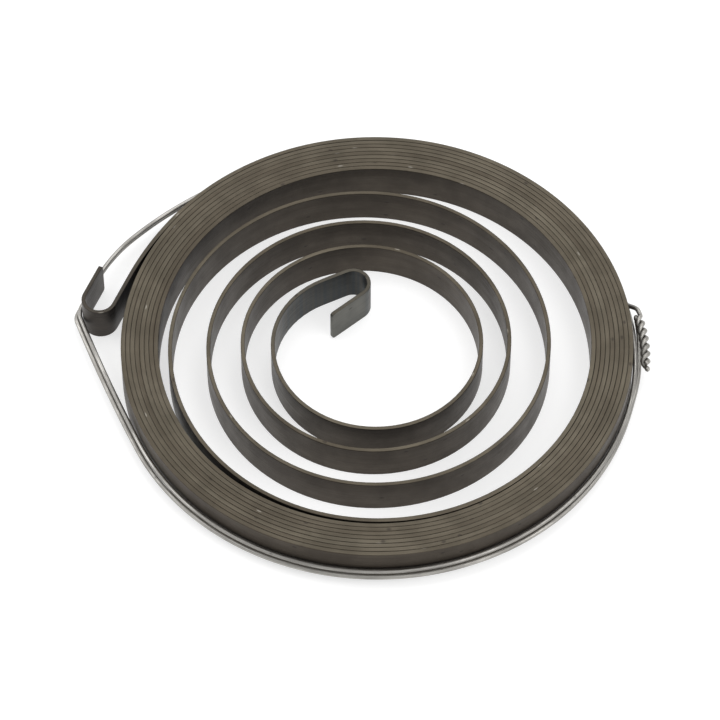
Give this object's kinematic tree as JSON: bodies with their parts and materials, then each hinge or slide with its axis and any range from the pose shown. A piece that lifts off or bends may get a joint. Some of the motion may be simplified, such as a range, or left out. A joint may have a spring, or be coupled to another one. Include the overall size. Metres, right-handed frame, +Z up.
{
  "type": "recoil starter spring",
  "caption": "Flat spiral power spring for a recoil starter, wound in close turns with open inner turns, hooked at both ends and held wound by a tie wire.",
  "frame": {"origin": "centre of the coil's outermost arc, in the plane of the strip's lower edges", "axes": "+Z up along the coil's axis, away from the surface it lies on; the outer hook is at -X and the twisted wire ends are at +X"},
  "size_m": [0.0866, 0.0793, 0.006],
  "materials": {
    "tempered_steel": "dark tempered spring steel, satin, with lighter rolled edges and a bluish tint at the hooks",
    "tie_wire": "drawn bare steel wire, satin"
  },
  "bodies": {
    "root": {"spring_strip": "tempered_steel", "retaining_wire": "tie_wire"}
  },
  "joints": []
}
